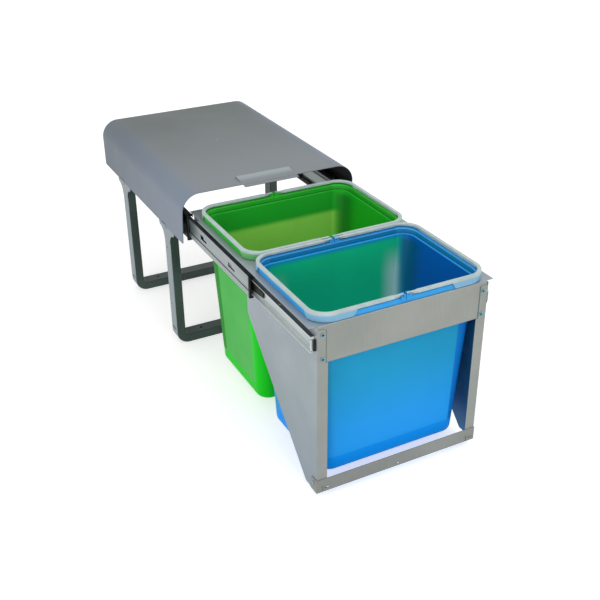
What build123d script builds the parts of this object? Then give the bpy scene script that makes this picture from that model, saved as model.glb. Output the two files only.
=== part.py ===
from build123d import *
import os

# The origin is the centre of the four floor screws, on the cabinet floor.
# +Y runs from the drawer front into the cabinet. The drawer stands fully open.

# Drawer front and its place above the floor
front_width = 300.0
front_height = 302.0
floor_gap = 13.0
sheet = 1.0
travel = 450.0
closed_reveal = 10.0
plate_overlap = 10.0

# Drawer side panels
panel_foot = 36.5
panel_past_bin = 20.5
panel_step_drop = 97.0
panel_strip_height = 49.0
flange_width = 18.0
band_height = 63.0
tab_width = 14.0
tab_top_gap = 6.0
tab_top_radius = 3.0

# Rivets that hold the band to the tabs
rivet_inset = 9.0
rivet_drop = 15.2
rivet_pitch = 41.0
rivet_bore = 4.4
rivet_barrel = 5.8
rivet_head = 8.0
rivet_head_thickness = 0.8
rivet_clearance = 0.1

# Bottom rail across the front
rail_height = 24.7
rail_return = 20.0
rail_corner = 5.0
rail_slot_width = 2.4
rail_slot_length = 8.6
rail_slot_height = 7.0
left_slot_inset = 17.1
left_mark_inset = 9.2
mark_slot_length = 11.0
slot_pair_inset = 25.5
rail_hole_diameter = 3.0
rail_hole_height = 5.0
foot_rivet_setback = 10.0
foot_rivet_height = 14.8
foot_rivet_diameter = 4.0
foot_rivet_head = 7.0
foot_rivet_head_thickness = 0.8

# Carrier plate
plate_wing_gap = 1.0
plate_notch_length = 48.0
plate_wing_setback = 4.0
plate_fold_radius = 1.0

# Bins
bin_corner = 31.0
bin_front_gap = 3.5
bin_gap = 5.5
bin_rear_gap = 23.0
bin_floor_height = 12.0
bin_wall = 2.0
rim_height = 8.5
rim_wall = 2.0
rim_lip = 5.5
rim_ledge_drop = 2.0
rim_seat_clearance = 0.2
neck_clearance = 0.5
ledge_width = 3.5
foot_side_inset = 22.5
foot_end_inset = 18.0
foot_corner = 24.0
foot_fillet = 11.0

# Carrying handles of the bins
handle_band = 6.3
handle_thickness = 4.7
handle_overhang = 3.0
handle_end_overhang = 2.0
handle_corner = 34.0
handle_inner_corner = 27.7
handle_lift = 2.3
handle_skirt_clearance = 0.3
handle_skirt_drop = 10.0
skirt_front_reach = 83.0
skirt_side_reach = 35.0
skirt_end_slant = 6.0
handle_neck = 4.0
handle_neck_reach = 20.0
pivot_offset = 4.75
pivot_eye_diameter = 4.7
pivot_pin_diameter = 2.6
pivot_clearance = 0.05
lug_cheek = 1.2
lug_gap_clearance = 0.3
lug_width = 8.25
lug_height = 7.0
lug_pad_depth = 3.5
lug_round = 2.0

# Ball bearing slides
slide_height = 45.7
slide_thickness = 12.7
slide_drop = 31.5
rail_sheet = 1.2
outer_lip = 2.0
outer_lip_gap = 2.0
inner_recess = 8.0
inner_depth = 7.0
middle_shortfall = 30.0
middle_overlap = 162.0
web_gap = 1.0
bulge_depth = 1.3
bulge_height = 9.5
flange_inset = 4.4
flange_end_lip = 0.6
ball_gap = 3.4
ball_clearance = 0.1
track_strip_thickness = 0.6
track_strip_width = 4.2
track_strip_edge = 0.9
ball_track_offset = 5.7
balls_in_row = 8
ball_pitch = 18.0
cage_sheet = 0.4
cage_flange = 0.8
cage_ball_clearance = 0.15
cage_end = 8.0
outer_cage_setback = 16.0
inner_cage_setback = 22.0

# Stamped slots in the middle rails
stamp_setbacks = (58.0, 180.0)
stamp_length = 28.0
stamp_height = 8.5
stamp_step = 4.0
stamp_nose = 12.0
stamp_rise = 3.0

# Plastic ends of the slides
end_stop_length = 4.0
end_stop_setback = 1.0
end_stop_wall = 1.5
end_stop_foot = 2.6
cap_length = 4.5
cap_rim = 1.6
cap_clearance = 0.6
tab_reach = 8.0
tab_height = 18.0
bumper_length = 3.5
bumper_width = 3.8
lug_setback = 104.0
lug_length = 4.0
lug_rise = 0.8
lever_thickness = 2.2
lever_length = 66.0
lever_clearance = 2.95
lever_tip_height = 8.0
lever_lead = 40.0

# Cover
cover_headroom = 19.7
cover_corner = 35.0
cover_sheet = 1.2
cover_front_overhang = 95.0
cover_rear_overhang = 129.0
cover_behind_rails = 20.0
skirt_cover = 5.65
skirt_rake = 7.0
skirt_rake_height = 62.0
skirt_tip = 4.5
lip_width = 110.0
lip_depth = 42.5
lip_reach = 9.0
lip_ridge = 3.8
lip_front_drop = 1.8
lip_back_run = 3.0
dimple_diameter = 3.0
dimple_depth = 0.5
dimple_setback = 251.0

# Hoops
hoop_section_x = 18.0
hoop_section_y = 30.0
hoop_wall = 1.5
hoop_bend = 26.0
hoop_edge = 2.0
hoop_tube_gap = 16.0
head_flare_drop = 30.0
head_flare_radius = 22.0
head_tip_width = 2.8
head_tip_height = 3.6
sight_hole_diameter = 3.0
sight_hole_height = 87.3
sight_hole_drop = 28.4
sight_hole_offset = 4.0
bend_slot_length = 18.0
bend_slot_height = 2.5
bend_slot_rise = 7.0
hook_gap = 1.3
hook_start = 4.0
hook_reach = 22.0
hook_rise = 2.8
hook_drop = 7.4
hook_lean = 2.5
hook_foot = 3.0
screw_inset = 56.2
floor_screw_diameter = 5.0

# Brackets between the slides and the cover
bracket_height = 34.0
bracket_length = 60.0
bracket_width = 12.3
bracket_wall = 1.5

# One overrun for all cuts
overrun = 1.0

# Lengths that follow from the drawer's travel
slide_length = travel
drawer_depth = travel + closed_reveal + plate_overlap
middle_length = slide_length - middle_shortfall
cover_length = plate_overlap + slide_length + cover_behind_rails
hoop_pitch = cover_length - cover_front_overhang - cover_rear_overhang
bin_length = (drawer_depth - bin_front_gap - bin_gap - bin_rear_gap) / 2
foot_length = bin_length - 2 * foot_end_inset
panel_depth = bin_front_gap + bin_length + panel_past_bin

# Places along Y
cover_front = -hoop_pitch / 2 - cover_front_overhang
cover_rear = cover_front + cover_length
front = cover_front - closed_reveal - travel
outer_front = cover_front + plate_overlap
middle_front = outer_front + middle_overlap - middle_length
inner_front = front + inner_recess
blue_y = front + bin_front_gap + bin_length / 2
green_y = blue_y + bin_length + bin_gap
pivot_y = bin_length / 2 + handle_end_overhang - handle_band / 2

# Widths and places along X
panel_face = front_width / 2
outer_face = panel_face + slide_thickness
outer_web = outer_face - rail_sheet
bulge_face = outer_web - web_gap
middle_web_face = bulge_face - bulge_depth
middle_web = middle_web_face - rail_sheet
inner_tip = panel_face + inner_depth
flange_tip = panel_face + flange_inset
ball_x = panel_face + ball_track_offset
cover_width = 2 * (outer_face + bracket_width + cover_sheet)
screw_spacing = cover_width - 2 * screw_inset
plate_width = 2 * (outer_face - plate_wing_gap)
plate_rear_width = 2 * inner_tip
bin_width = front_width
foot_width = bin_width - 2 * foot_side_inset
neck_inset = rim_lip - rim_wall
slot_pair_pitch = front_width - slot_pair_inset

# Heights
drawer_top = floor_gap + front_height
plate_bottom = drawer_top - sheet
band_bottom = drawer_top - band_height
slide_z = drawer_top - slide_drop
middle_height = slide_height - 2 * (rail_sheet + ball_gap)
inner_height = middle_height - 2 * (rail_sheet + ball_gap)
lever_height = inner_height - 2 * (rail_sheet + lever_clearance)
outer_ball = ball_gap - track_strip_thickness - 2 * ball_clearance
inner_ball = ball_gap - 2 * ball_clearance
rim_bottom = drawer_top + rim_seat_clearance
rim_top = rim_bottom + rim_height
rim_ledge = rim_bottom - rim_ledge_drop
handle_bottom = rim_top + handle_lift
handle_top = handle_bottom + handle_thickness
pivot_z = handle_bottom + handle_thickness / 2
cover_height = handle_top + cover_headroom + cover_sheet
skirt_bottom = slide_z - slide_height / 2 - skirt_cover
hoop_tube_end = skirt_bottom - hoop_tube_gap
sight_hole_places = (sight_hole_height, hoop_tube_end - sight_hole_drop)
bend_slot_place = hoop_bend + bend_slot_rise


# A box between two corners
def block(x0, x1, y0, y1, z0, z1):
    size = Box(x1 - x0, y1 - y0, z1 - z0)
    return Pos((x0 + x1) / 2, (y0 + y1) / 2, (z0 + z1) / 2) * size


# The same box on both sides of the middle plane
def block_pair(x0, x1, y0, y1, z0, z1):
    right = block(x0, x1, y0, y1, z0, z1)
    return right + mirror(right, about=Plane.YZ)


# An upright prism with rounded corners
def rounded(cx, cy, width, length, radius, z0, z1):
    outline = Pos(cx, cy, z0) * RectangleRounded(width, length, radius)
    return extrude(outline, amount=z1 - z0)


# A prism along Y of an outline drawn in X and Z
def along_y(outline, y0, y1):
    return extrude(Plane.XZ.offset(-y1) * outline, amount=y1 - y0)


# A prism along X of an outline drawn in Y and Z
def along_x(outline, x0, x1):
    return extrude(Plane.YZ.offset(x0) * outline, amount=x1 - x0)


# A closed outline through the given points
def outline_of(points):
    return make_face(Polyline(*points, close=True))


# A round bar along X
def bar_x(radius, x0, x1, y, z):
    return along_x(Pos(y, z) * Circle(radius), x0, x1)


# A round bar along Y
def bar_y(radius, x, y0, y1, z):
    return along_y(Pos(x, z) * Circle(radius), y0, y1)


# The mirror image on the left side
def left_of(shape):
    return mirror(shape, about=Plane.YZ)


# A rectangle between two heights with two rounded corners, at the top or at the bottom
def arch(width, low, high, radius, top):
    plain = Pos(0, (low + high) / 2) * Rectangle(width, high - low)
    rows = plain.vertices().group_by(Axis.Y)
    corners = rows[-1] if top else rows[0]
    return fillet(corners, radius)


# Hook shaped slot where a hoop head meets the skirt of the cover
def hook_cut(y):
    level = skirt_bottom + hook_rise
    half = hook_gap / 2
    top_y = y + hook_start
    low_y = top_y - hook_lean
    low = level - hook_drop
    points = [
        (top_y - half, level + half),
        (top_y + hook_reach, level + half),
        (top_y + hook_reach, level - half),
        (top_y + half, level - half),
        (low_y + half, low - half),
        (low_y - hook_foot, low - half),
        (low_y - hook_foot, low + half),
        (low_y - half, low + half),
    ]
    inside = cover_width / 2 - hoop_wall - overrun
    right = along_x(outline_of(points), inside, cover_width / 2 + overrun)
    return right + left_of(right)


# Cover: one bent sheet with raked skirts and a raised finger lip
def make_cover():
    low = skirt_bottom - overrun
    outer = arch(cover_width, low, cover_height, cover_corner, True)
    inner_width = cover_width - 2 * cover_sheet
    inner_top = cover_height - cover_sheet
    inner = arch(inner_width, low - overrun, inner_top, cover_corner - cover_sheet, True)
    hood = along_y(outer - inner, cover_front, cover_rear)
    side = outline_of([
        (cover_front, cover_height + overrun),
        (cover_front, skirt_bottom + skirt_rake_height),
        (cover_front + skirt_rake, skirt_bottom),
        (cover_rear, skirt_bottom),
        (cover_rear, cover_height + overrun),
    ])
    tips = side.vertices().group_by(Axis.Y)[0]
    side = fillet(tips, skirt_tip)
    hood = hood & along_x(side, -cover_width, cover_width)
    hood = hood + finger_lip()
    for y in (-hoop_pitch / 2, hoop_pitch / 2):
        hood = hood - hook_cut(y)
    pit = Pos(0, cover_front + dimple_setback, cover_height) * Cylinder(dimple_diameter / 2, 2 * dimple_depth)
    return hood - pit


# Raised finger lip that runs out over the front edge of the cover
def finger_lip():
    ridge_y = cover_front - lip_reach + lip_depth
    tip_y = cover_front - lip_reach
    tip_z = cover_height - lip_front_drop
    inner_top = cover_height - cover_sheet
    profile = outline_of([
        (tip_y, tip_z),
        (ridge_y, cover_height + lip_ridge),
        (ridge_y + lip_back_run, cover_height),
        (ridge_y + lip_back_run, inner_top),
        (cover_front + cover_sheet, inner_top),
        (tip_y, tip_z - cover_sheet),
    ])
    return along_x(profile, -lip_width / 2, lip_width / 2)


# Hoop: a flat tube bent to a U, whose outer wall widens into a head under the cover
def make_hoop(y):
    y0 = y - hoop_section_y / 2
    y1 = y + hoop_section_y / 2
    inside_bend = hoop_bend - hoop_section_x
    inside_width = cover_width - 2 * hoop_section_x
    shell = arch(cover_width, 0, hoop_tube_end, hoop_bend, False)
    shell = shell - arch(inside_width, hoop_section_x, hoop_tube_end + overrun, inside_bend, False)
    tube = along_y(shell, y0, y1)
    long_edges = tube.faces().filter_by(Axis.Y).edges().filter_by(lambda e: e.center().Z < hoop_tube_end - overrun)
    tube = fillet(long_edges, hoop_edge)
    bore_width = cover_width - 2 * hoop_wall
    bore = arch(bore_width, hoop_wall, hoop_tube_end + overrun, hoop_bend - hoop_wall, False)
    core_width = inside_width + 2 * hoop_wall
    core_low = hoop_section_x - hoop_wall
    core = arch(core_width, core_low, hoop_tube_end + 2 * overrun, inside_bend + hoop_wall, False)
    tube = tube - along_y(bore - core, y0 + hoop_wall, y1 - hoop_wall)
    head = hoop_head(y)
    hoop = tube + head + left_of(head)
    return hoop - hoop_holes(y) - hook_cut(y)


# Flared outer wall of a hoop, up to the lower edge of the skirt
def hoop_head(y):
    flare_z = skirt_bottom - head_flare_drop
    half = hoop_section_y / 2
    root = half + head_flare_radius
    tip = root + head_tip_width
    tip_z = skirt_bottom - head_tip_height
    plate = Pos(y, (flare_z + skirt_bottom) / 2) * Rectangle(2 * tip, skirt_bottom - flare_z)
    for side in (-1, 1):
        plate = plate - Pos(y + side * root, flare_z) * Circle(head_flare_radius)
        plate = plate - outline_of([
            (y + side * root, flare_z - overrun),
            (y + side * (tip + overrun), flare_z - overrun),
            (y + side * (tip + overrun), tip_z),
            (y + side * tip, tip_z),
            (y + side * root, flare_z + head_flare_radius),
        ])
    return along_x(plate, cover_width / 2 - hoop_wall, cover_width / 2)


# Floor screw holes, sight holes and the slot in each outer bend
def hoop_holes(y):
    outer = cover_width / 2
    screws = Pos(screw_spacing / 2, y, hoop_section_x / 2) * Cylinder(floor_screw_diameter / 2, 2 * hoop_section_x)
    cuts = screws
    for z in sight_hole_places:
        y_hole = y + sight_hole_offset
        cuts = cuts + bar_x(sight_hole_diameter / 2, outer - hoop_wall - overrun, outer + overrun, y_hole, z)
    low = bend_slot_place - bend_slot_height / 2
    half = bend_slot_length / 2
    cuts = cuts + block(outer - hoop_bend / 2, outer + overrun, y - half, y + half, low, low + bend_slot_height)
    return cuts + left_of(cuts)


# Four box brackets that carry the outer rails from the skirts
def make_brackets():
    x1 = cover_width / 2 - cover_sheet
    z0 = slide_z - bracket_height / 2
    z1 = slide_z + bracket_height / 2
    pieces = []
    for y in (-hoop_pitch / 2, hoop_pitch / 2):
        y0 = y - bracket_length / 2
        y1 = y + bracket_length / 2
        box = block(outer_face, x1, y0, y1, z0, z1)
        hole = block(
            outer_face + bracket_wall, x1 - bracket_wall,
            y0 - overrun, y1 + overrun,
            z0 + bracket_wall, z1 - bracket_wall,
        )
        pieces.append(box - hole)
        pieces.append(left_of(box - hole))
    return Compound(children=[p.solid() for p in pieces])


# Outer rail: a channel open towards the drawer, with turned lips
def make_outer_rail():
    y0 = outer_front
    y1 = outer_front + slide_length
    z0 = slide_z - slide_height / 2
    z1 = slide_z + slide_height / 2
    x0 = panel_face + outer_lip_gap
    rail = block(outer_web, outer_face, y0, y1, z0, z1)
    rail = rail + block(x0, outer_face, y0, y1, z1 - rail_sheet, z1)
    rail = rail + block(x0, outer_face, y0, y1, z0, z0 + rail_sheet)
    lip = rail_sheet + outer_lip
    rail = rail + block(x0, x0 + rail_sheet, y0, y1, z1 - lip, z1)
    rail = rail + block(x0, x0 + rail_sheet, y0, y1, z0, z0 + lip)
    return rail


# Middle rail: recessed web between two raised tracks, flanges towards the drawer
def make_middle_rail():
    y0 = middle_front
    y1 = middle_front + middle_length
    half = middle_height / 2
    step = half - bulge_height
    rail = block(middle_web, middle_web_face, y0, y1, slide_z - step - rail_sheet, slide_z + step + rail_sheet)
    for side in (-1, 1):
        low, high = sorted((slide_z + side * half, slide_z + side * (half - rail_sheet)))
        rail = rail + block(flange_tip, bulge_face, y0, y1, low, high)
        low, high = sorted((slide_z + side * half, slide_z + side * step))
        rail = rail + block(bulge_face - rail_sheet, bulge_face, y0, y1, low, high)
        low, high = sorted((slide_z + side * step, slide_z + side * (step + rail_sheet)))
        rail = rail + block(middle_web, bulge_face, y0, y1, low, high)
        low, high = sorted((slide_z + side * half, slide_z + side * (half + flange_end_lip)))
        rail = rail + block(flange_tip, flange_tip + flange_end_lip, y0, y1, low, high)
    for setback in stamp_setbacks:
        rail = rail - stamped_slot(y0 + setback)
    return rail


# One stepped slot stamped through the web of a middle rail
def stamped_slot(y):
    low = slide_z + stamp_rise - stamp_height / 2
    high = low + stamp_height
    points = [
        (y, low),
        (y + stamp_length, low),
        (y + stamp_length, high),
        (y + stamp_nose, high),
        (y + stamp_nose, low + stamp_step),
        (y, low + stamp_step),
    ]
    return along_x(outline_of(points), middle_web - overrun, bulge_face + overrun)


# Toothed track strips on the upper and lower faces of a middle rail
def make_track_strips():
    y0 = middle_front + track_strip_edge
    y1 = middle_front + middle_length - track_strip_edge
    x1 = bulge_face - track_strip_edge
    x0 = x1 - track_strip_width
    half = middle_height / 2
    top = block(x0, x1, y0, y1, slide_z + half, slide_z + half + track_strip_thickness)
    bottom = block(x0, x1, y0, y1, slide_z - half - track_strip_thickness, slide_z - half)
    return Compound(children=[top.solid(), bottom.solid()])


# Inner rail: a channel open to the outside, with a front tab and a small stop on top
def make_inner_rail():
    y0 = inner_front
    y1 = inner_front + slide_length
    z0 = slide_z - inner_height / 2
    z1 = slide_z + inner_height / 2
    rail = block(panel_face, panel_face + rail_sheet, y0, y1, z0, z1)
    rail = rail + block(panel_face, inner_tip, y0, y1, z1 - rail_sheet, z1)
    rail = rail + block(panel_face, inner_tip, y0, y1, z0, z0 + rail_sheet)
    half = tab_height / 2
    rail = rail + block(panel_face, panel_face + tab_reach, y0 - rail_sheet, y0, slide_z - half, slide_z + half)
    rail = rail + block(panel_face, panel_face + rail_sheet, y0 - rail_sheet, y0 + rail_sheet,
                        slide_z - half, slide_z + half)
    stop_y = y0 + lug_setback
    rail = rail + block(panel_face + rail_sheet, ball_x - inner_ball / 2 - cage_ball_clearance,
                        stop_y, stop_y + lug_length, z1, z1 + lug_rise)
    return rail


# Front bumper of an inner rail
def make_bumper():
    y1 = inner_front - rail_sheet
    half = tab_height / 2
    return block(panel_face, panel_face + bumper_width, y1 - bumper_length, y1, slide_z - half, slide_z + half)


# Release lever that lies in the channel of an inner rail
def make_lever():
    y0 = middle_front - lever_lead
    y1 = y0 + lever_length
    points = [
        (y0, slide_z - lever_tip_height / 2),
        (y1 - lever_height, slide_z - lever_height / 2),
        (y1, slide_z - lever_height / 2),
        (y1, slide_z + lever_height / 2),
        (y1 - lever_height, slide_z + lever_height / 2),
        (y0, slide_z + lever_tip_height / 2),
    ]
    x0 = panel_face + rail_sheet
    return along_x(outline_of(points), x0, x0 + lever_thickness)


# Plastic end of an outer rail: a sleeve round its front end with a foot below
def make_end_stop():
    y0 = outer_front + end_stop_setback
    y1 = y0 + end_stop_length
    z0 = slide_z - slide_height / 2
    z1 = slide_z + slide_height / 2
    x0 = panel_face + outer_lip_gap
    x1 = outer_face + end_stop_wall
    stop = block(outer_face, x1, y0, y1, z0 - end_stop_foot, z1 + end_stop_wall)
    stop = stop + block(x0, x1, y0, y1, z1, z1 + end_stop_wall)
    return stop + block(x0, x1, y0, y1, z0 - end_stop_foot, z0)


# Plastic cap on the front end of a middle rail, open where the inner rail runs through
def make_end_cap():
    y1 = middle_front
    y0 = y1 - cap_length
    half = middle_height / 2 + cap_rim
    cap = block(flange_tip - cap_clearance, bulge_face + cap_clearance, y0, y1, slide_z - half, slide_z + half)
    gap = inner_height / 2 + cap_clearance + lug_rise
    return cap - block(flange_tip - cap_clearance - overrun, inner_tip + cap_clearance, y0 - overrun, y1 + overrun,
                       slide_z - gap, slide_z + gap)


# Heights of the two ball rows of one cage
def ball_rows(member_height, strip, ball):
    reach = member_height / 2 + strip + ball_clearance + ball / 2
    return (slide_z - reach, slide_z + reach)


# Places of the balls along one row
def ball_places(y0):
    return [y0 + cage_end + ball_pitch * i for i in range(balls_in_row)]


# Length of a cage with its row of balls
def cage_length():
    return 2 * cage_end + ball_pitch * (balls_in_row - 1)


# Ball cage: a thin channel between two rails with a hole for each ball
def make_cage(web_x, y0, member_height, strip, ball):
    y1 = y0 + cage_length()
    rows = ball_rows(member_height, strip, ball)
    half = cage_flange / 2
    cage = block(web_x, web_x + cage_sheet, y0, y1, rows[0] - half, rows[1] + half)
    x0 = ball_x - ball / 2 + cage_ball_clearance
    hole_radius = ball / 2 + cage_ball_clearance
    for z in rows:
        cage = cage + block(x0, web_x + cage_sheet, y0, y1, z - half, z + half)
        for y in ball_places(y0):
            cage = cage - Pos(ball_x, y, z) * Cylinder(hole_radius, ball)
    return cage


# The balls of one cage
def make_balls(y0, member_height, strip, ball):
    balls = []
    for z in ball_rows(member_height, strip, ball):
        for y in ball_places(y0):
            balls.append((Pos(ball_x, y, z) * Sphere(ball / 2)).solid())
    return Compound(children=balls)


# Side panel with its front flange and the tab over the band
def make_side_panel():
    z0 = floor_gap
    web = outline_of([
        (front, z0),
        (front + panel_foot, z0),
        (front + panel_depth, drawer_top - panel_step_drop),
        (front + panel_depth, drawer_top - panel_strip_height - sheet),
        (front + drawer_depth, drawer_top - panel_strip_height - sheet),
        (front + drawer_depth, plate_bottom),
        (front, plate_bottom),
    ])
    panel = along_x(web, panel_face - sheet, panel_face)
    panel = panel + block(panel_face - flange_width, panel_face, front, front + sheet, z0, band_bottom)
    tab_top = drawer_top - tab_top_gap
    tab = Pos(panel_face - tab_width / 2, (band_bottom + tab_top) / 2)
    tab = tab * Rectangle(tab_width, tab_top - band_bottom)
    corner = tab.vertices().group_by(Axis.Y)[-1].sort_by(Axis.X)[0]
    tab = fillet(corner, tab_top_radius)
    panel = panel + along_y(tab, front, front + sheet)
    for z in rivet_heights():
        hole = rivet_barrel / 2 + rivet_clearance
        panel = panel - bar_y(hole, panel_face - rivet_inset, front - overrun, front + sheet + overrun, z)
    y = front + foot_rivet_setback
    z = floor_gap + foot_rivet_height
    hole = foot_rivet_diameter / 2 + rivet_clearance
    return panel - bar_x(hole, panel_face - sheet - overrun, panel_face + overrun, y, z)


# Heights of the two rivets in each tab
def rivet_heights():
    high = drawer_top - rivet_drop
    return (high - rivet_pitch, high)


# Carrier plate: folded down in front into the band, with wings over the slides
def make_carrier_plate():
    y0 = front + sheet
    rear = front + drawer_depth
    inside = panel_face - sheet
    fold = outline_of([
        (y0, band_bottom),
        (y0, drawer_top),
        (rear, drawer_top),
        (rear, plate_bottom),
        (y0 + sheet, plate_bottom),
        (y0 + sheet, band_bottom),
    ])
    edge = fold.vertices().group_by(Axis.Y)[-1].sort_by(Axis.X)[0]
    fold = fillet(edge, plate_fold_radius)
    plate = along_x(fold, -inside, inside)
    wing_y = front + plate_wing_setback
    notch_y = rear - plate_notch_length
    plate = plate + block(-plate_width / 2, plate_width / 2, wing_y, notch_y, plate_bottom, drawer_top)
    plate = plate + block(-plate_rear_width / 2, plate_rear_width / 2, wing_y, rear, plate_bottom, drawer_top)
    for y in (blue_y, green_y):
        width = bin_width - 2 * (neck_inset - neck_clearance)
        length = bin_length - 2 * (neck_inset - neck_clearance)
        radius = bin_corner - neck_inset + neck_clearance
        plate = plate - rounded(0, y, width, length, radius, plate_bottom - overrun, drawer_top + overrun)
    for x in (rivet_inset - panel_face, panel_face - rivet_inset):
        for z in rivet_heights():
            hole = rivet_barrel / 2 + rivet_clearance
            plate = plate - bar_y(hole, x, front, y0 + sheet + overrun, z)
    return plate


# Bottom rail across the front, with ends that go round the side panels
def make_bottom_rail():
    z0 = floor_gap
    z1 = floor_gap + rail_height
    outside = panel_face + sheet
    rail = block(-outside, outside, front - sheet, front, z0, z1)
    end = outline_of([
        (front - sheet, z0),
        (front + rail_return, z0),
        (front + rail_return, z1 - rail_corner),
        (front + rail_return - rail_corner, z1),
        (front - sheet, z1),
    ])
    wing = along_x(end, panel_face, outside)
    rail = rail + wing + left_of(wing)
    y = front + foot_rivet_setback
    z = floor_gap + foot_rivet_height
    hole = bar_x(foot_rivet_diameter / 2 + rivet_clearance, panel_face - overrun, outside + overrun, y, z)
    rail = rail - hole - left_of(hole)
    return rail - rail_slots()


# Two pairs of slots and one small hole in the bottom rail
def rail_slots():
    y0 = front - sheet - overrun
    y1 = front + overrun
    z = floor_gap + rail_slot_height
    cuts = bar_y(rail_hole_diameter / 2, 0, y0, y1, floor_gap + rail_hole_height)
    for shift in (0, slot_pair_pitch):
        x = left_slot_inset - panel_face + shift
        long_slot = Pos(x, z) * SlotOverall(rail_slot_length, rail_slot_width)
        mark = Pos(left_mark_inset - panel_face + shift, z) * SlotOverall(mark_slot_length, rail_slot_width, 90)
        cuts = cuts + along_y(long_slot, y0, y1) + along_y(mark, y0, y1)
    return cuts


# Four hollow rivets through the tabs and the band
def make_band_rivets():
    y0 = front
    y1 = front + 2 * sheet
    head = rivet_head / 2
    pieces = []
    for x in (rivet_inset - panel_face, panel_face - rivet_inset):
        for z in rivet_heights():
            rivet = bar_y(rivet_barrel / 2, x, y0 - rivet_head_thickness, y1 + rivet_head_thickness, z)
            rivet = rivet + bar_y(head, x, y0 - rivet_head_thickness, y0, z)
            rivet = rivet + bar_y(head, x, y1, y1 + rivet_head_thickness, z)
            rivet = rivet - bar_y(rivet_bore / 2, x, y0 - rivet_head, y1 + rivet_head, z)
            pieces.append(rivet.solid())
    return Compound(children=pieces)


# Two rivets that hold the bottom rail's ends to the side panels
def make_foot_rivets():
    y = front + foot_rivet_setback
    z = floor_gap + foot_rivet_height
    inside = panel_face - sheet
    outside = panel_face + sheet
    head = foot_rivet_head / 2
    rivet = bar_x(foot_rivet_diameter / 2, inside, outside, y, z)
    rivet = rivet + bar_x(head, outside, outside + foot_rivet_head_thickness, y, z)
    rivet = rivet + bar_x(head, inside - foot_rivet_head_thickness, inside, y, z)
    return Compound(children=[rivet.solid(), left_of(rivet).solid()])


# The outer skin of a bin below its rim, drawn in by a margin all round
def bin_taper(y, margin, low, high, bottom_fillet):
    top_inset = 2 * (neck_inset + ledge_width + margin)
    top_corner = bin_corner - neck_inset - ledge_width - margin
    bottom_outline = Pos(0, y, low) * RectangleRounded(
        foot_width - 2 * margin, foot_length - 2 * margin, foot_corner - margin)
    top_outline = Pos(0, y, high) * RectangleRounded(
        bin_width - top_inset, bin_length - top_inset, top_corner)
    body = loft([bottom_outline.face(), top_outline.face()], ruled=True)
    return fillet(body.faces().sort_by(Axis.Z)[0].edges(), bottom_fillet)


# Bin: a tapered tub whose folded rim rests on the carrier plate
def make_bin(y):
    low = floor_gap + bin_floor_height
    body = bin_taper(y, 0, low, rim_ledge, foot_fillet)
    neck_width = bin_width - 2 * neck_inset
    neck_length = bin_length - 2 * neck_inset
    neck_corner = bin_corner - neck_inset
    body = body + rounded(0, y, neck_width, neck_length, neck_corner, rim_ledge - rim_wall, rim_top)
    rim = rounded(0, y, bin_width, bin_length, bin_corner, rim_bottom, rim_top)
    groove = rounded(0, y, bin_width - 2 * rim_wall, bin_length - 2 * rim_wall, bin_corner - rim_wall,
                     rim_bottom - overrun, rim_top - rim_wall)
    body = body + (rim - groove)
    body = body + bin_lugs(y)
    mouth = rounded(0, y, bin_width - 2 * rim_lip, bin_length - 2 * rim_lip, bin_corner - rim_lip,
                    rim_ledge, rim_top + lug_height + overrun)
    body = body - mouth
    hollow = bin_taper(y, bin_wall, low + bin_wall, rim_ledge + overrun, foot_fillet - bin_wall)
    return body - hollow


# Pivot lugs of the handles: two cheeks for each arm, at the front and at the rear of the rim
def bin_lugs(y):
    lugs = None
    for end in (-1, 1):
        for side in (-1, 1):
            lug = one_lug(side, y + end * pivot_y, end)
            lugs = lug if lugs is None else lugs + lug
    return lugs


# One lug with its pad on the rim
def one_lug(side, y, end):
    x0, x1 = sorted((side * (pivot_offset - lug_width / 2), side * (pivot_offset + lug_width / 2)))
    slot = handle_neck / 2 + lug_gap_clearance
    half = slot + lug_cheek
    top = rim_top + lug_height
    face = Pos((x0 + x1) / 2, (rim_top - rim_wall + top) / 2) * Rectangle(x1 - x0, top - rim_top + rim_wall)
    face = fillet(face.vertices().group_by(Axis.Y)[-1], lug_round)
    lug = along_y(face, y - half, y + half)
    lug = lug - block(x0 - overrun, x1 + overrun, y - slot, y + slot, rim_top, top + overrun)
    pin = pivot_pin_diameter / 2 + pivot_clearance
    lug = lug - bar_y(pin, side * pivot_offset, y - half - overrun, y + half + overrun, pivot_z)
    pad_y0, pad_y1 = sorted((y + end * half, y - end * slot))
    return lug + block(x0, x1, pad_y0, pad_y1, rim_top - lug_pad_depth, rim_top)


# Right half of a bin's carrying ring, down on the rim
def make_handle(y):
    width = bin_width + 2 * handle_overhang
    length = bin_length + 2 * handle_end_overhang
    inner_width = width - 2 * handle_band
    inner_length = length - 2 * handle_band
    ring = rounded(0, y, width, length, handle_corner, handle_bottom, handle_top)
    ring = ring - rounded(0, y, inner_width, inner_length, handle_inner_corner,
                          handle_bottom - overrun, handle_top + overrun)
    ring = ring + corner_skirts(y, width, length)
    ring = ring & block(pivot_offset, width, y - length, y + length, drawer_top, handle_top + overrun)
    half = handle_neck / 2
    for end in (-1, 1):
        yc = y + end * pivot_y
        for edge in (-1, 1):
            y0, y1 = sorted((yc + edge * half, yc + edge * handle_band))
            ring = ring - block(0, handle_neck_reach, y0, y1, handle_bottom - overrun, handle_top + overrun)
        ring = ring + bar_y(pivot_eye_diameter / 2, pivot_offset, yc - half, yc + half, pivot_z)
        pin = half + lug_gap_clearance + lug_cheek
        ring = ring + bar_y(pivot_pin_diameter / 2, pivot_offset, yc - pin, yc + pin, pivot_z)
    return ring


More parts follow.
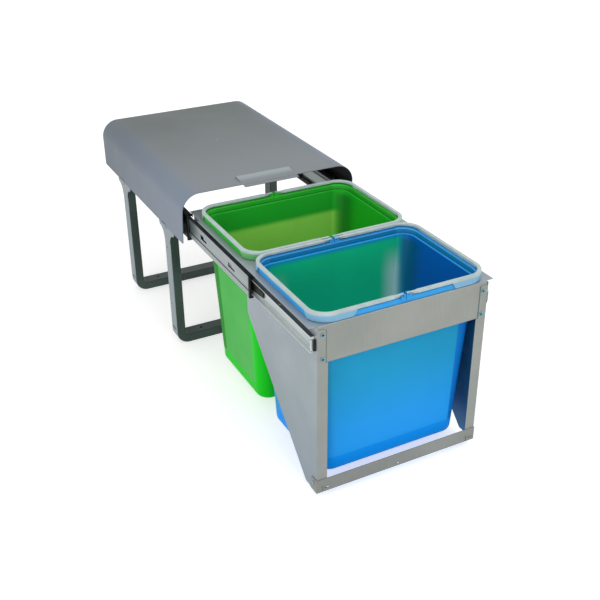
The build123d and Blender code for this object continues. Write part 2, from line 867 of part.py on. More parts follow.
# Skirts with slanted ends that hang from the ring outside the rim, round its corners only
def corner_skirts(y, width, length):
    low = handle_bottom - handle_skirt_drop
    gap = handle_skirt_clearance
    skirt = rounded(0, y, width, length, handle_corner, low, handle_bottom)
    skirt = skirt - rounded(0, y, bin_width + 2 * gap, bin_length + 2 * gap, bin_corner + gap,
                            low - overrun, handle_bottom + overrun)
    reach = width / 2 + overrun
    end = length / 2 + overrun
    across = along_y(outline_of([
        (skirt_front_reach, handle_bottom),
        (reach, handle_bottom),
        (reach, low),
        (skirt_front_reach + skirt_end_slant, low),
    ]), y - end, y + end)
    corners = None
    for side in (-1, 1):
        corner = along_x(outline_of([
            (y + side * end, handle_bottom),
            (y + side * (end - skirt_side_reach), handle_bottom),
            (y + side * (end - skirt_side_reach + skirt_end_slant), low),
            (y + side * end, low),
        ]), 0, reach)
        corners = corner if corners is None else corners + corner
    return skirt & across & corners


# Write one node
def save(name, shape):
    export_step(shape, "parts/" + name + ".step")


# The pieces that are fixed to the cabinet
def save_fixed():
    save("cover", make_cover())
    save("front_hoop", make_hoop(-hoop_pitch / 2))
    save("rear_hoop", make_hoop(hoop_pitch / 2))
    save("slide_brackets", make_brackets())
    rail = make_outer_rail()
    save("right_outer_rail", rail)
    save("left_outer_rail", left_of(rail))
    stop = make_end_stop()
    save("right_outer_end_stop", stop)
    save("left_outer_end_stop", left_of(stop))


# The middle rails with what they carry, and the ball cages
def save_rolling():
    rail = make_middle_rail()
    cap = make_end_cap()
    strips = make_track_strips()
    outer_y = outer_front + outer_cage_setback
    inner_y = middle_front + inner_cage_setback
    outer_x = bulge_face + (web_gap - cage_sheet) / 2
    inner_x = (inner_tip + middle_web - cage_sheet) / 2
    outer_cage = make_cage(outer_x, outer_y, middle_height, track_strip_thickness, outer_ball)
    inner_cage = make_cage(inner_x, inner_y, inner_height, 0, inner_ball)
    outer_balls = make_balls(outer_y, middle_height, track_strip_thickness, outer_ball)
    inner_balls = make_balls(inner_y, inner_height, 0, inner_ball)
    pieces = {
        "middle_rail": rail,
        "middle_end_cap": cap,
        "track_strips": strips,
        "outer_cage": outer_cage,
        "outer_balls": outer_balls,
        "inner_cage": inner_cage,
        "inner_balls": inner_balls,
    }
    for name, shape in pieces.items():
        save("right_" + name, shape)
        save("left_" + name, left_of(shape))


# The drawer frame
def save_drawer():
    pieces = {
        "inner_rail": make_inner_rail(),
        "inner_bumper": make_bumper(),
        "release_lever": make_lever(),
        "side_panel": make_side_panel(),
    }
    for name, shape in pieces.items():
        save("right_" + name, shape)
        save("left_" + name, left_of(shape))
    save("carrier_plate", make_carrier_plate())
    save("bottom_rail", make_bottom_rail())
    save("band_rivets", make_band_rivets())
    save("foot_rivets", make_foot_rivets())


# The bins with their carrying handles
def save_bins():
    for name, y in (("green", green_y), ("blue", blue_y)):
        save(name + "_bin", make_bin(y))
        handle = make_handle(y)
        save(name + "_right_handle", handle)
        save(name + "_left_handle", left_of(handle))


os.makedirs("parts", exist_ok=True)
save_fixed()
save_rolling()
save_drawer()
save_bins()
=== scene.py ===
import math

import bmesh
import bpy
from mathutils import Matrix, Vector


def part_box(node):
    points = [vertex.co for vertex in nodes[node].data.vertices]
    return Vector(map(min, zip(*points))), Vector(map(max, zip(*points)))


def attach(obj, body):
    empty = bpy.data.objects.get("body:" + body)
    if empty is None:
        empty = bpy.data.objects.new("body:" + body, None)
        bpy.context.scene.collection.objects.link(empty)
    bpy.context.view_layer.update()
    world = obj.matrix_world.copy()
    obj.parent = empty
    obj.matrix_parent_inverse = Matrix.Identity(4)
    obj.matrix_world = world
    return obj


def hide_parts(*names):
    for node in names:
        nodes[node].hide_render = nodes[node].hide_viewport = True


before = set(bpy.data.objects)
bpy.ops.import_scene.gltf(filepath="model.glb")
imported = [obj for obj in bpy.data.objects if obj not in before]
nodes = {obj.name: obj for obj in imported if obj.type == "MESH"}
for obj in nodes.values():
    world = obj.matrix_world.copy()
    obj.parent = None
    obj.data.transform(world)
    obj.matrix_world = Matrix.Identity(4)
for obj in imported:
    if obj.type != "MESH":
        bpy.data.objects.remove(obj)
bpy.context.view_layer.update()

# Pull out bin frame, drawer open, with a green and a blue bin in its plate.
# The studio is laid out in metres. Places and widths on the part are millimetres: X across the
# drawer, Y from its front into the cabinet, Z up. Sizes of grains and dents are metres. Colours
# of the part are as a screen shows them, 0 to 255.
scene = bpy.context.scene
scene.view_settings.view_transform = "Standard"
mm = 0.001
facing = 0.7  # from this share of its normal on, a face looks along an axis
white = (1, 1, 1, 1)


# Camera: stands to the left of the drawer front and looks down along it.
cameraSettings = {
    "place": (-0.68116, -1.66221, 0.97507),
    "right": (0.8875043, -0.46075548, -0.00636514),
    "up": (0.22775147, 0.42660161, 0.87529443),
    "back": (-0.40058132, -0.77827724, 0.4835485),
    "lens": 55.1, "sensor": 36, "clip": (0.05, 60),
}


def makeCamera():
    lens = bpy.data.cameras.new("photoCamera")
    lens.lens = cameraSettings["lens"]
    lens.sensor_width = cameraSettings["sensor"]
    lens.clip_start, lens.clip_end = cameraSettings["clip"]
    camera = bpy.data.objects.new("photoCamera", lens)
    turn = Matrix([cameraSettings[axis] for axis in ("right", "up", "back")]).transposed()
    camera.matrix_world = Matrix.Translation(cameraSettings["place"]) @ turn.to_4x4()
    scene.collection.objects.link(camera)
    scene.camera = camera


# Soft studio light: three panels of one size, above, on the left and in front.
lightSettings = {
    "world": 0.62,  # how much light the room gives, 1 is white
    "size": 1.4,
    "panels": {
        "topPanel": {"place": (0.2, -1.2, 2.2), "aim": (0, -0.4, 0.2), "watts": 10},
        "leftPanel": {"place": (-2.2, -1.2, 1.2), "aim": (0, -0.3, 0.2), "watts": 15},
        "frontPanel": {"place": (0.5, -2.8, 0.9), "aim": (0, -0.5, 0.2), "watts": 9},
    },
}


def makeLights():
    for name, panel in lightSettings["panels"].items():
        lamp = bpy.data.lights.new(name, "AREA")
        lamp.shape = "SQUARE"
        lamp.size = lightSettings["size"]
        lamp.energy = panel["watts"]
        holder = bpy.data.objects.new(name, lamp)
        place, aim = Vector(panel["place"]), Vector(panel["aim"])
        holder.location = place
        holder.rotation_euler = (aim - place).to_track_quat("-Z", "Y").to_euler()
        scene.collection.objects.link(holder)
    world = bpy.data.worlds.new("studio")
    scene.world = world
    world.use_nodes = True
    tree = world.node_tree
    background = tree.nodes["Background"]
    background.inputs["Color"].default_value = white
    # the room is a soft grey as light and plain white where it is seen
    level = tree.nodes.new("ShaderNodeMapRange")
    level.inputs["To Min"].default_value = lightSettings["world"]
    level.inputs["To Max"].default_value = 1.0
    tree.links.new(seenShare(tree), level.inputs["Value"])
    tree.links.new(level.outputs["Result"], background.inputs["Strength"])


def seenShare(tree):
    # 1 for a ray that ends in the picture straight, or by way of metal or clear plastic
    path = tree.nodes.new("ShaderNodeLightPath")
    share = path.outputs["Is Camera Ray"]
    for ray in ("Is Glossy Ray", "Is Transmission Ray"):
        either = tree.nodes.new("ShaderNodeMath")
        either.operation = "MAXIMUM"
        tree.links.new(share, either.inputs[0])
        tree.links.new(path.outputs[ray], either.inputs[1])
        share = either.outputs[0]
    return share


def screenColour(red, green, blue, dim=1.0):
    # a colour as a screen shows it, 0 to 255, as the linear values that a shader takes
    def channel(level):
        share = level / 255
        return dim * (share / 12.92 if share <= 0.04045 else ((share + 0.055) / 1.055) ** 2.4)
    return (channel(red), channel(green), channel(blue), 1.0)


grainRoughness = 0.55  # how much the finer spots of a grain count
edgeSamples = 6  # how often a material looks around itself for a sharp edge
mixSockets = {"share": 0, "first": 6, "second": 7, "result": 2}  # of a Mix node set to colours


class Finish:
    # one material under construction: its node tree, its shader and the grain that feeds both
    def __init__(self, name, **plain):
        self.material = bpy.data.materials.new(name)
        self.material.use_nodes = True
        self.tree = self.material.node_tree
        self.shader = self.tree.nodes["Principled BSDF"]
        for socket, value in plain.items():
            self.shader.inputs[socket.replace("_", " ")].default_value = value
        self.normal = None

    def add(self, kind, **options):
        # a new node with its options set
        node = self.tree.nodes.new(kind)
        for option, value in options.items():
            setattr(node, option, value)
        return node

    def feed(self, value, socket):
        # a number or a screen colour is set on the socket, the output of a node is linked to it
        if isinstance(value, tuple):
            socket.default_value = screenColour(*value)
        elif isinstance(value, (int, float)):
            socket.default_value = value
        else:
            self.tree.links.new(value, socket)

    def place(self, stretch=(1, 1, 1)):
        # where a point lies on the piece, squeezed so that a grain runs along one direction
        coordinate = self.add("ShaderNodeTexCoord")
        mapping = self.add("ShaderNodeMapping")
        mapping.inputs["Scale"].default_value = stretch
        self.feed(coordinate.outputs["Object"], mapping.inputs["Vector"])
        return mapping.outputs["Vector"]

    def grain(self, size, stretch=(1, 1, 1), detail=3):
        # noise whose spots are about this many metres across
        noise = self.add("ShaderNodeTexNoise")
        noise.inputs["Scale"].default_value = 1 / size
        noise.inputs["Detail"].default_value = detail
        noise.inputs["Roughness"].default_value = grainRoughness
        self.feed(self.place(stretch), noise.inputs["Vector"])
        return noise.outputs["Fac"]

    def between(self, share, low, high, start=0.35, end=0.65):
        # a number that follows the share from low to high; a grain lies mostly from 0.35 to 0.65
        mapped = self.add("ShaderNodeMapRange")
        limits = {"From Min": start, "From Max": end, "To Min": low, "To Max": high}
        for name, value in limits.items():
            mapped.inputs[name].default_value = value
        self.feed(share, mapped.inputs["Value"])
        return mapped.outputs["Result"]

    def blend(self, share, first, second, way="MIX"):
        # from the first colour to the second by share; a fourth number in a colour dims it
        mix = self.add("ShaderNodeMix", data_type="RGBA", blend_type=way)
        self.feed(share, mix.inputs[mixSockets["share"]])
        self.feed(first, mix.inputs[mixSockets["first"]])
        self.feed(second, mix.inputs[mixSockets["second"]])
        return mix.outputs[mixSockets["result"]]

    def mottle(self, grain, first, second, most=1.0):
        # two tones in the soft spots of a grain
        return self.blend(self.between(grain, 0, most), first, second)

    def maths(self, way, first, *others):
        # worked out in turn, from the left
        for other in others:
            node = self.add("ShaderNodeMath", operation=way)
            self.feed(first, node.inputs[0])
            self.feed(other, node.inputs[1])
            first = node.outputs[0]
        return first

    def together(self, *shares):
        # 1 only where every share is 1
        return self.maths("MULTIPLY", *shares)

    def along(self, axis, start, end, bothSides=True):
        # 0 before start and 1 past end along one axis, with a soft change between them;
        # X is counted from the middle to either side, unless told otherwise
        split = self.add("ShaderNodeSeparateXYZ")
        self.feed(self.place(), split.inputs[0])
        value = split.outputs[axis]
        if axis == "X" and bothSides:
            fold = self.add("ShaderNodeMath", operation="ABSOLUTE")
            self.feed(value, fold.inputs[0])
            value = fold.outputs[0]
        step = self.add("ShaderNodeMapRange", interpolation_type="SMOOTHSTEP")
        step.inputs["From Min"].default_value = start * mm
        step.inputs["From Max"].default_value = end * mm
        self.feed(value, step.inputs["Value"])
        return step.outputs["Result"]

    def before(self, axis, start, end, bothSides=True):
        # 1 before start and 0 past end
        return self.maths("SUBTRACT", 1.0, self.along(axis, start, end, bothSides))

    def within(self, axis, rise, fall, bothSides=True):
        # 1 between a soft rise and a soft fall
        return self.together(self.along(axis, *rise, bothSides), self.before(axis, *fall, bothSides))

    def colour(self, socket):
        self.feed(socket, self.shader.inputs["Base Color"])

    def glow(self, socket, strength):
        # painted glow: emission in this colour, standing in for light that comes through a thin wall
        self.feed(socket, self.shader.inputs["Emission Color"])
        self.feed(strength, self.shader.inputs["Emission Strength"])

    def roughness(self, socket):
        self.feed(socket, self.shader.inputs["Roughness"])

    def softEdges(self, width):
        # sharp edges catch the light as if they were rounded by this many millimetres
        node = self.add("ShaderNodeBevel", samples=edgeSamples)
        node.inputs["Radius"].default_value = width * mm
        self.takeNormal(node)

    def bump(self, height, depth, strength):
        # dents or stands the surface by this many metres where height is 1
        node = self.add("ShaderNodeBump")
        node.inputs["Distance"].default_value = depth
        node.inputs["Strength"].default_value = strength
        self.feed(height, node.inputs["Height"])
        if self.normal is not None:
            self.feed(self.normal, node.inputs["Normal"])
        self.takeNormal(node)

    def takeNormal(self, node):
        # the shader takes its normal from this node from now on
        self.normal = node.outputs["Normal"]
        self.feed(self.normal, self.shader.inputs["Normal"])


# Floor: lifted to white only where it is seen, so that it keeps the shadow of the part
floorSettings = {
    "reach": 14.0, "colour": (0.8, 0.8, 0.8, 1),  # a linear grey
    "lift": (0.56, 0.68), "distance": (0.8, 4.0),  # from near the part to far away
}


def makeFloor():
    mesh = bpy.data.meshes.new("studioFloor")
    sketch = bmesh.new()
    reach = floorSettings["reach"]
    corners = ((-reach, -reach), (reach, -reach), (reach, reach), (-reach, reach))
    sketch.faces.new([sketch.verts.new((x, y, 0)) for x, y in corners])
    sketch.to_mesh(mesh)
    sketch.free()
    floor = bpy.data.objects.new("studioFloor", mesh)
    scene.collection.objects.link(floor)
    ground = Finish(
        "studioFloor", Base_Color=floorSettings["colour"], Roughness=1, Specular_IOR_Level=0,
        Emission_Color=white)
    # the lamps reach less far than the floor does, so its own lift grows with the distance
    where = ground.add("ShaderNodeTexCoord")
    distance = ground.add("ShaderNodeVectorMath", operation="LENGTH")
    ground.feed(where.outputs["Object"], distance.inputs[0])
    lift = ground.between(distance.outputs["Value"], *floorSettings["lift"], *floorSettings["distance"])
    lift = ground.together(seenShare(ground.tree), lift)
    ground.feed(lift, ground.shader.inputs["Emission Strength"])
    mesh.materials.append(ground.material)


def dress(material, *names):
    # puts a finish on CAD pieces in the place of the plain one they came with
    for name in names:
        piece = nodes[name]
        piece.data.materials.clear()
        piece.data.materials.append(material)


def dressFaces(name, materials, choose):
    # several finishes on one piece: choose(centre, normal) says which one a face takes
    piece = nodes[name]
    piece.data.materials.clear()
    for material in materials:
        piece.data.materials.append(material)
    for face in piece.data.polygons:
        face.material_index = materials.index(choose(face.center / mm, face.normal))


softSettings = {"join": 0.00001, "segments": 2, "sharpFrom": 35}  # metres, steps, degrees


def soften(width, *names):
    # rounds the sharp edges of a CAD piece by this many millimetres
    for name in names:
        weld = nodes[name].modifiers.new("joined", "WELD")
        weld.merge_threshold = softSettings["join"]
        bevel = nodes[name].modifiers.new("roundedEdges", "BEVEL")
        bevel.width = width * mm
        bevel.segments = softSettings["segments"]
        bevel.limit_method = "ANGLE"
        bevel.angle_limit = math.radians(softSettings["sharpFrom"])
        bevel.use_clamp_overlap = False
        bevel.harden_normals = True


def onBothSides(*names):
    return [side + name for name in names for side in ("left_", "right_")]


def middle(name):
    low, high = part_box(name)
    return (low + high) / 2 / mm


# Grey paint of the hoops, with the marks of a sprayed coat
paintSettings = {
    "light": (152, 164, 170), "dark": (143, 155, 161), "cloud": 0.16,
    "speck": 0.0005, "speckShare": 0.08,
    "peel": 0.0016, "peelDepth": 0.00006, "peelStrength": 0.5,
    "gloss": 0.3, "roughness": (0.42, 0.52), "rounding": 0.8,
}


def greyPaint(name, settings, shades=None):
    paint = Finish(name, Specular_IOR_Level=settings["gloss"])
    paint.softEdges(settings["rounding"])
    cloud = paint.grain(settings["cloud"])
    speck = paint.grain(settings["speck"], detail=1)
    base = paint.mottle(cloud, settings["dark"], settings["light"])
    if shades:
        base = shades(paint, base)
    paint.colour(paint.blend(settings["speckShare"], base, speck, "OVERLAY"))
    paint.roughness(paint.between(cloud, *settings["roughness"]))
    peel = paint.grain(settings["peel"], detail=2)
    paint.bump(peel, settings["peelDepth"], settings["peelStrength"])
    return paint.material


# Black plastic of the stops, caps and levers, also the shade under the cover and in the slots
blackSettings = {
    "light": (26, 27, 28), "dark": (14, 15, 16), "cloud": 0.006,
    "texture": 0.0007, "textureDepth": 0.00004, "textureStrength": 0.5,
    "gloss": 0.25, "roughness": (0.5, 0.65),
}


# black plastic, and the same near black used as painted shade
def blackPlasticAndShade(name, tone=1.0):
    plastic = Finish(name, Specular_IOR_Level=blackSettings["gloss"])
    spots = plastic.grain(blackSettings["cloud"])
    dark, light = (tuple(tone * level for level in blackSettings[key]) for key in ("dark", "light"))
    plastic.colour(plastic.mottle(spots, dark, light))
    plastic.roughness(plastic.between(spots, *blackSettings["roughness"]))
    texture = plastic.grain(blackSettings["texture"], detail=2)
    plastic.bump(texture, blackSettings["textureDepth"], blackSettings["textureStrength"])
    return plastic.material


# Cover: its own grey, darker than the hoops', with painted light and shade outside and painted shade,
# near black, on its inside faces
coverSettings = dict(
    paintSettings,
    # rear is the painted shade at the back of the top, side and sideRear the painted cool light on the
    # sides, crest a painted highlight on the lip
    light=(131, 138, 142), dark=(124, 131, 136), rear=(98, 106, 105),
    side=(122, 135, 152), sideRear=(102, 113, 126), crest=(158, 168, 173),
    shadeToRear=(-215, 250),  # along Y, painted shade from the lit front of the top to its darker rear
    bend=(118, 168), bendShare=0.9,  # along X, painted cool light from the top into the sides
    lipAcross=(52, 58), lipRise=(352.0, 354.6),  # painted highlight on the crest of the raised lip: X either side and Z
    # painted shade: the faces inside the cover are near black
    insideTone=1.4, insideBelow=340, insideTurn=0.3, skin=0.6,  # skin: half the sheet
    # slots low in the sides, where the hoops hook in, painted near black as shade
    slotTone=0.6, slotLevel=(256, 262), slotTurn=0.5, slotDepth=2.1, hoopPlace=128, hoopReach=28,
    dimplePlace=28, dimpleReach=3, dimpleLevel=(350.5, 351.5),  # Y, half width and Z
)
# painted highlight in the dimple of the top
dimpleHighlightSettings = dict(paintSettings, light=(196, 208, 214), dark=(180, 192, 199))


def coverLightAndShade(paint, base):
    # painted shade, duller and warmer towards the back of the top; painted cool light down the bend and
    # the sides
    shadeToRear = paint.along("Y", *coverSettings["shadeToRear"])
    base = paint.blend(shadeToRear, base, coverSettings["rear"])
    flank = paint.blend(shadeToRear, coverSettings["side"], coverSettings["sideRear"])
    bend = paint.together(paint.along("X", *coverSettings["bend"]), coverSettings["bendShare"])
    base = paint.blend(bend, base, flank)
    # painted highlight: the crest of the raised finger lip is lighter
    lipHighlight = paint.together(
        paint.before("X", *coverSettings["lipAcross"]), paint.along("Z", *coverSettings["lipRise"]))
    return paint.blend(lipHighlight, base, coverSettings["crest"])


def dressCover():
    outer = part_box("cover")[1].x / mm
    slotLow, slotTop = coverSettings["slotLevel"]
    dimpleLow, dimpleTop = coverSettings["dimpleLevel"]
    outside = greyPaint("coverPaint", coverSettings, coverLightAndShade)
    # painted shade on the inside faces and in the hook slots
    inside = blackPlasticAndShade("coverInsideShade", coverSettings["insideTone"])
    slotShade = blackPlasticAndShade("coverSlotShade", coverSettings["slotTone"])
    # painted highlight in the dimple
    bright = greyPaint("dimpleHighlightPaint", dimpleHighlightSettings)

    def inSlot(centre, normal):
        nearHoop = abs(abs(centre.y) - coverSettings["hoopPlace"]) < coverSettings["hoopReach"]
        inWall = abs(centre.x) > outer - coverSettings["slotDepth"] and slotLow < centre.z < slotTop
        return nearHoop and inWall and abs(normal.x) < coverSettings["slotTurn"]

    def inDimple(centre):
        reach = max(abs(centre.x), abs(centre.y - coverSettings["dimplePlace"]))
        return reach < coverSettings["dimpleReach"] and dimpleLow < centre.z < dimpleTop

    def isInside(centre, normal):
        turn = coverSettings["insideTurn"]
        if normal.z < -turn and centre.z > slotTop:
            return True
        inwards = normal.x * (-1 if centre.x > 0 else 1) > turn
        inSkin = abs(centre.x) < outer - coverSettings["skin"]
        return inwards and inSkin and centre.z < coverSettings["insideBelow"]

    def choose(centre, normal):
        if inSlot(centre, normal):
            return slotShade
        if inDimple(centre):
            return bright
        return inside if isInside(centre, normal) else outside

    dressFaces("cover", [outside, inside, slotShade, bright], choose)


# Hoops: grey paint on the outer face of each, painted shade on the tube behind it
hoopSettings = {
    "outerFrom": 174, "outerTurn": 0.6, "footTop": 12,  # the outer faces, above the floor bar
    "slotFrom": 245, "slotTurn": 0.5, "slotTone": 0.6,  # the slots in the heads, painted near black as shade
    "place": 128, "reach": 27,  # Y of either hoop and half the width of its head
}
# painted shade: the tube is a darker copy of the hoop paint
shadedTubeSettings = dict(paintSettings, light=(78, 92, 90), dark=(58, 72, 70))


def dressHoops():
    outside = greyPaint("hoopPaint", paintSettings)
    shadedTube = greyPaint("shadedTubePaint", shadedTubeSettings)
    # painted shade in the head slots
    slotShade = blackPlasticAndShade("headSlotShade", hoopSettings["slotTone"])

    def choose(centre, normal):
        turn = abs(normal.x)
        if abs(centre.x) <= hoopSettings["outerFrom"]:
            return shadedTube
        if turn > hoopSettings["outerTurn"] and centre.z > hoopSettings["footTop"]:
            return outside
        inHead = abs(abs(centre.y) - hoopSettings["place"]) < hoopSettings["reach"]
        if inHead and centre.z > hoopSettings["slotFrom"] and turn < hoopSettings["slotTurn"]:
            return slotShade
        return shadedTube

    for name in ("front_hoop", "rear_hoop"):
        dressFaces(name, [outside, shadedTube, slotShade], choose)


def rolledSteel(settings, which, shades=None):
    # soft clouds, and fine lines along the way the steel was rolled
    light, dark = settings[which]
    steel = Finish(which + settings["kind"], Metallic=settings["metallic"])
    steel.softEdges(settings["rounding"])
    cloud = steel.grain(settings["cloud"], settings["cloudRun"])
    lines = steel.grain(settings["lines"], settings["run"], detail=4)
    base = steel.mottle(cloud, dark, light)
    if shades:
        base = shades(steel, base)
    steel.colour(steel.blend(settings["lineShare"], base, lines, "OVERLAY"))
    steel.roughness(steel.between(lines, *settings["roughness"]))
    steel.bump(lines, settings["lineDepth"], settings["lineStrength"])
    return steel.material


# Satin galvanised sheet of the drawer front, its side panels and the plate: light and dark tones
drawerSettings = {
    "front": ((150, 153, 147), (140, 144, 139)),
    "low": ((140, 143, 138), (129, 132, 127)),
    "side": ((159, 169, 176), (147, 158, 165)),
    "plate": ((164, 174, 180), (154, 165, 171)),
    # painted reflection: the blue that the blue bin throws on the inner faces of the side panels
    "inside": ((46, 116, 158), (24, 92, 128)),
    "kind": "Steel",  # ends the name of each finish
    "metallic": 0.4, "rounding": 0.5, "cloud": 0.09, "cloudRun": (1, 1, 1),
    "lines": 0.0012, "run": (1, 1, 0.04), "lineShare": 0.12,
    "lineDepth": 0.00003, "lineStrength": 0.4, "roughness": (0.36, 0.48),
    # painted shade along the seam between the left flange and the band: X and Z of its soft edges
    "seamShade": (84, 86, 82), "seamShare": 0.75,
    "seamAcross": ((-136.0, -135.4), (-134.4, -133.8)), "seamUpright": ((253, 254), (306, 308)),
    # painted shade low on the side panels
    "sideLow": (124, 136, 144), "sideLowTo": (30, 250), "sideLowShare": 0.6,
    "bandBefore": -680.5, "bandTop": 314.5, "flangeBefore": -681,  # Y, Z and Y
}


def seamShade(steel, base):
    # a painted shade line where the flange of the left side panel lies over the band, down to the band's
    # lower edge
    across = steel.within("X", *drawerSettings["seamAcross"], bothSides=False)
    upright = steel.within("Z", *drawerSettings["seamUpright"])
    share = steel.together(across, upright, drawerSettings["seamShare"])
    return steel.blend(share, base, drawerSettings["seamShade"])


def shadedBelow(steel, base):
    # painted shade: the lower half of a panel is darker
    low = steel.before("Z", *drawerSettings["sideLowTo"])
    share = steel.together(low, drawerSettings["sideLowShare"])
    return steel.blend(share, base, drawerSettings["sideLow"])


def dressDrawer():
    band = rolledSteel(drawerSettings, "front", seamShade)
    side = rolledSteel(drawerSettings, "side", shadedBelow)
    plate = rolledSteel(drawerSettings, "plate")
    # painted reflection of the blue bin on the inner faces
    inside = rolledSteel(drawerSettings, "inside")
    dress(rolledSteel(drawerSettings, "low"), "bottom_rail")

    def choosePlate(centre, normal):
        inFront = centre.y < drawerSettings["bandBefore"]
        return band if inFront and centre.z < drawerSettings["bandTop"] else plate

    def choosePanel(centre, normal):
        # the front flange, the face towards the blue bin with the blue light the bin throws on it
        # painted in, and the outside
        if abs(normal.y) > facing and centre.y < drawerSettings["flangeBefore"]:
            return band
        return inside if normal.x * centre.x < 0 and abs(normal.x) > facing else side

    dressFaces("carrier_plate", [plate, band], choosePlate)
    for name in onBothSides("side_panel"):
        dressFaces(name, [side, band, inside], choosePanel)


# Zinc plated rails as lit and shaded copies of one zinc: webs, painted shade on the tracks, painted
# highlights on the edges
railSettings = {
    "web": ((152, 162, 163), (138, 149, 150)),
    "track": ((92, 98, 99), (62, 68, 69)),
    # edge and light are painted highlights on the lit ends, flanges and the inner web
    "edge": ((214, 220, 220), (198, 205, 206)),
    "light": ((196, 204, 204), (178, 187, 188)),
    "kind": "Zinc",
    "metallic": 0.5, "rounding": 0.4, "cloud": 0.05, "cloudRun": (1, 0.3, 1),
    "lines": 0.0009, "run": (1, 0.02, 1), "lineShare": 0.2,
    "lineDepth": 0.00003, "lineStrength": 0.4, "roughness": (0.28, 0.42),
    "faceFrom": 160, "webFrom": 157,  # X of the outer faces and of the sunk web
    "webHalf": 11, "innerWebHalf": 9,  # half the height of a web
}


def dressRails():
    web, track, edge, light = (
        rolledSteel(railSettings, which) for which in ("web", "track", "edge", "light"))
    level = middle("left_middle_rail").z

    def chooseMiddle(centre, normal):
        # painted highlight on the ends
        if abs(normal.y) > facing:
            return edge
        across = abs(centre.x)
        inWeb = abs(centre.z - level) < railSettings["webHalf"] and across > railSettings["webFrom"]
        if abs(normal.x) > facing and (across > railSettings["faceFrom"] or inWeb):
            return web
        # painted shade on the tracks
        return track

    def chooseInner(centre, normal):
        height = centre.z - level
        # painted highlights on the ends and lit flange faces, painted shade on top of the upper flange
        if abs(normal.y) > facing:
            return edge
        if abs(normal.x) > facing:
            return edge if abs(height) > railSettings["innerWebHalf"] else light
        return track if normal.z > facing and height > 0 else edge

    for name in onBothSides("middle_rail"):
        dressFaces(name, [web, track, edge], chooseMiddle)
    for name in onBothSides("inner_rail"):
        dressFaces(name, [web, track, edge, light], chooseInner)
    # painted shade: the outer rails and the brackets lie under the cover
    dress(track, *onBothSides("outer_rail"), "slide_brackets")


# Bright steel of the small parts: tone and roughness of each
brightSettings = {
    "toothSteel": ((104, 110, 112), 0.35), "cageSteel": ((120, 124, 124), 0.35),
    "ballSteel": ((205, 208, 210), 0.08), "rivetSteel": ((128, 156, 166), 0.25),
    "spots": 0.0018, "dim": 0.82, "spread": 0.12,  # spread: of the roughness
}


def brightSteel(name):
    tone, roughness = brightSettings[name]
    steel = Finish(name, Metallic=1.0)
    spots = steel.grain(brightSettings["spots"])
    steel.colour(steel.mottle(spots, tone, tone + (brightSettings["dim"],)))
    steel.roughness(steel.between(spots, roughness, roughness + brightSettings["spread"]))
    return steel.material


# Toothed strips on the tracks of the middle rails
stripSettings = {
    "pitch": 3.6, "tooth": 2.2, "base": 0.25, "full": 0.6,
    "flank": 0.2,  # as a share of the tooth
}


def stripProfile(start, end):
    # one side of a strip, along Y: pairs of place and height
    pitch, tooth, base, full = (stripSettings[key] * mm for key in ("pitch", "tooth", "base", "full"))
    flank = stripSettings["flank"]
    profile = [(start, 0.0)]
    y = start
    while y + pitch < end:
        crest = [(y + pitch - tooth * (1 - flank), full), (y + pitch - tooth * flank, full)]
        profile += [(y, base), (y + pitch - tooth, base)] + crest
        y += pitch
    return profile + [(y, base), (end, base), (end, 0.0)]


def makeStrip(side, steel):
    name = side + "_track_strips"
    low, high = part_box(name)
    full = stripSettings["full"] * mm
    profile = stripProfile(low.y, high.y)
    sketch = bmesh.new()
    for face, out in ((high.z - full, 1), (low.z + full, -1)):
        rows = []
        for x in (low.x, high.x):
            rows.append([sketch.verts.new((x, y, face + out * rise)) for y, rise in profile])
        for k in range(len(profile)):
            after = (k + 1) % len(profile)
            sketch.faces.new((rows[0][k], rows[0][after], rows[1][after], rows[1][k]))
        sketch.faces.new(rows[0])
        sketch.faces.new(rows[1])
    bmesh.ops.recalc_face_normals(sketch, faces=sketch.faces)
    mesh = bpy.data.meshes.new(side + "ToothedStrips")
    sketch.to_mesh(mesh)
    sketch.free()
    piece = bpy.data.objects.new(side + "ToothedStrips", mesh)
    scene.collection.objects.link(piece)
    mesh.materials.append(steel)
    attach(piece, side + "_middle")
    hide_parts(name)


# Hollow rivets: the bore is painted, and made to glow, in the colour of the bin behind it
rivetSettings = {
    "bore": (28, 120, 122), "boreDeep": (20, 98, 104), "spots": 0.002,
    "roughness": 0.6, "glow": 0.5, "boreHalf": 2.2,  # half the width of the bore
}


def halfway(values):
    values = list(values)
    return (min(values) + max(values)) / 2


def rivetPlaces():
    # middles of the four rivets of the band, across and upright
    spread = [v.co / mm for v in nodes["band_rivets"].data.vertices]
    places = []
    for side in ([v for v in spread if v.x < 0], [v for v in spread if v.x > 0]):
        split = halfway(v.z for v in side)
        for part in ([v for v in side if v.z < split], [v for v in side if v.z > split]):
            places.append((halfway(v.x for v in side), halfway(v.z for v in part)))
    return places


def dressRivets():
    head = brightSteel("rivetSteel")
    bore = Finish("rivetBoreGlow", Roughness=rivetSettings["roughness"])
    spots = bore.grain(rivetSettings["spots"])
    base = bore.mottle(spots, rivetSettings["bore"], rivetSettings["boreDeep"])
    bore.colour(base)
    # painted glow in the bore
    bore.glow(base, rivetSettings["glow"])
    places = rivetPlaces()

    def choose(centre, normal):
        near = min(math.hypot(centre.x - x, centre.z - z) for x, z in places)
        inBore = near < rivetSettings["boreHalf"] and abs(normal.y) < facing
        return bore.material if inBore else head

    dress(head, "foot_rivets")
    dressFaces("band_rivets", [head, bore.material], choose)
